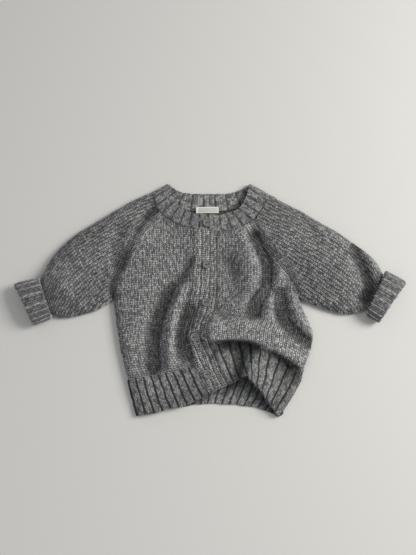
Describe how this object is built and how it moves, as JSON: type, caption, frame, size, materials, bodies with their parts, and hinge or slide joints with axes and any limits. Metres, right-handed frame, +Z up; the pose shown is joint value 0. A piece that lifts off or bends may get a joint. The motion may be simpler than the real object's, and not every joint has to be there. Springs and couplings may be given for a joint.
{
  "type": "baby cardigan",
  "caption": "Knitted baby cardigan with raglan sleeves, turned-back ribbed cuffs and a buttoned front, laid flat face up with its hem lifted at one front.",
  "frame": {"origin": "middle of the underside of the garment as it lies flat", "axes": "+X to the wearer's left, across the spread sleeves; +Y from the hem to the neck; +Z up from the surface it lies on"},
  "size_m": [0.5152, 0.323, 0.026],
  "materials": {
    "knit": "stocking stitch in a mid grey melange yarn, matt with a short fuzz",
    "rib": "rib knitted in the same mid grey melange yarn",
    "button": "moulded, with a soft sheen",
    "label": "smooth woven tape, blank"
  },
  "bodies": {
    "root": {"back_panel": "knit", "back_hem_rib": "rib", "right_front_panel": "knit", "right_front_hem_rib": "rib", "left_front_panel": "knit", "left_front_hem_rib": "rib", "right_sleeve": "knit", "left_sleeve": "knit", "right_cuff": "rib", "left_cuff": "rib", "neckband": "rib", "buttonhole_band": "rib", "button_band": "rib", "button_1": "button", "button_2": "button", "button_3": "button", "button_4": "button", "button_5": "button", "neck_label": "label"}
  },
  "joints": []
}
